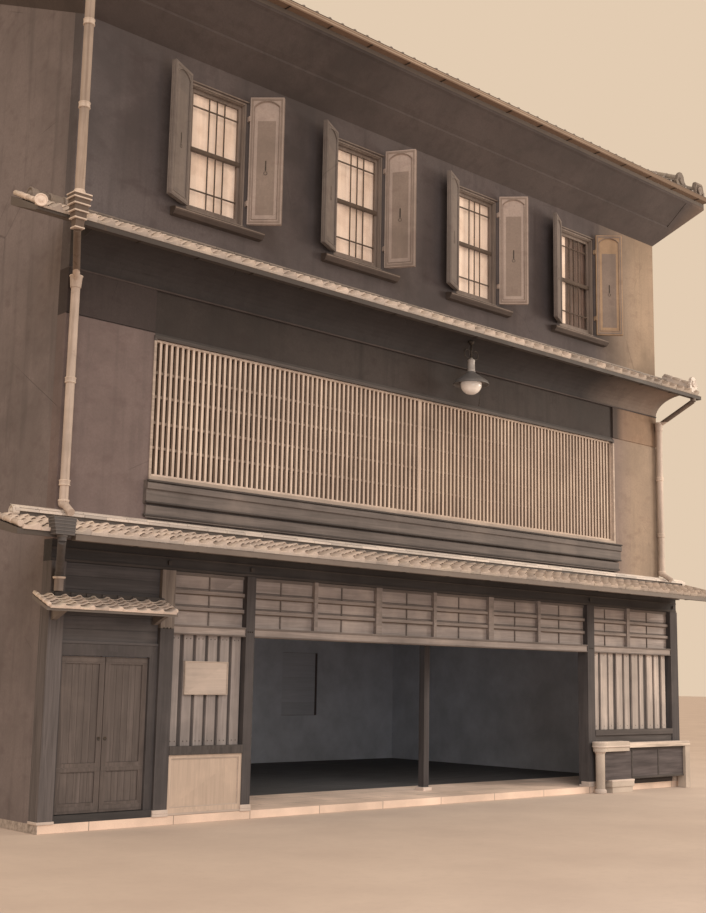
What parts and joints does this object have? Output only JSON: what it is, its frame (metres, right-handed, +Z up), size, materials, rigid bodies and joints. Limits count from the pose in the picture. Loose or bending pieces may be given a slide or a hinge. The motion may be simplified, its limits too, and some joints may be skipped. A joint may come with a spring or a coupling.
{
  "type": "machiya townhouse",
  "caption": "Hollow three-storey plastered timber townhouse with tiled pent roofs, a long lattice, shuttered sash windows, an open shop front and a hinged double door.",
  "frame": {"origin": "on the ground under the middle of the floor plan, midway between the front and rear wall faces", "axes": "+Z up; -Y is out of the street front; +X runs to the right along the front, seen from the street"},
  "size_m": [13.486, 9.07, 12.8602],
  "materials": {
    "plaster": "aged lime plaster, dark and weather-stained",
    "timber": "old dark timber, dry and worn along the edges",
    "boards": "weathered boards",
    "pale_wood": "bare pale wood, matt",
    "tile": "unglazed fired clay roof tile",
    "stone": "dressed stone, matt",
    "metal": "sheet metal with old pale paint",
    "glass": "old window glass, slightly uneven",
    "paper": "translucent screen paper",
    "globe": "opal glass"
  },
  "bodies": {
    "root": {"ground_floor": "stone", "front_posts": "timber", "shop_lintel": "timber", "front_girder": "timber", "transom_boards": "boards", "transom_rails": "timber", "wall_over_door": "timber", "door_frame": "timber", "threshold": "timber", "door_canopy": "timber", "slat_screen_left": "boards", "dado_left": "boards", "sign_board": "pale_wood", "slat_screen_right": "boards", "dado_right": "boards", "low_post_and_rail": "stone", "lower_roofs": "tile", "side_roof": "tile", "roof_wall_courses": "tile", "left_wall": "plaster", "right_wall_ground": "plaster", "right_wall_upper": "plaster", "rear_wall_ground": "plaster", "rear_wall_bands": "plaster", "rear_wall_piers": "plaster", "rear_slat_screens": "boards", "floor_2f": "boards", "floor_3f": "boards", "front_wall_2f_sides": "plaster", "front_wall_2f_bands": "plaster", "sill_band_2f": "boards", "lattice_2f_left": "pale_wood", "lattice_2f_right": "pale_wood", "paper_screens_2f": "paper", "pent_roofs_3f": "tile", "pent_coves_3f": "plaster", "front_wall_3f_bands": "plaster", "front_wall_3f_piers": "plaster", "window_frames": "pale_wood", "window_panes": "glass", "window_sills": "boards", "shutters_left": "boards", "shutters_right": "boards", "eave_cornices": "plaster", "verge_cornices": "plaster", "main_roof_front": "tile", "main_roof_rear": "tile", "roof_ridges": "tile", "verge_ridges": "tile", "roof_end_tiles": "tile", "gutters": "metal", "downpipe_left": "metal", "downpipe_right": "metal", "eave_hopper": "metal", "street_lamp": "globe"},
    "left_door": {"door_leaf_left": "timber", "door_hinges_left": "metal"},
    "right_door": {"door_leaf_right": "timber", "door_hinges_right": "metal"}
  },
  "joints": [
    {"name": "left_door_hinge", "type": "hinge", "parent": "root", "child": "left_door", "pos_m": [-5.6025, -3.482, 0], "axis": [0, 0, 1], "range_deg": [0, 90]},
    {"name": "right_door_hinge", "type": "hinge", "parent": "root", "child": "right_door", "pos_m": [-4.4375, -3.482, 0], "axis": [0, 0, -1], "range_deg": [0, 90]}
  ]
}
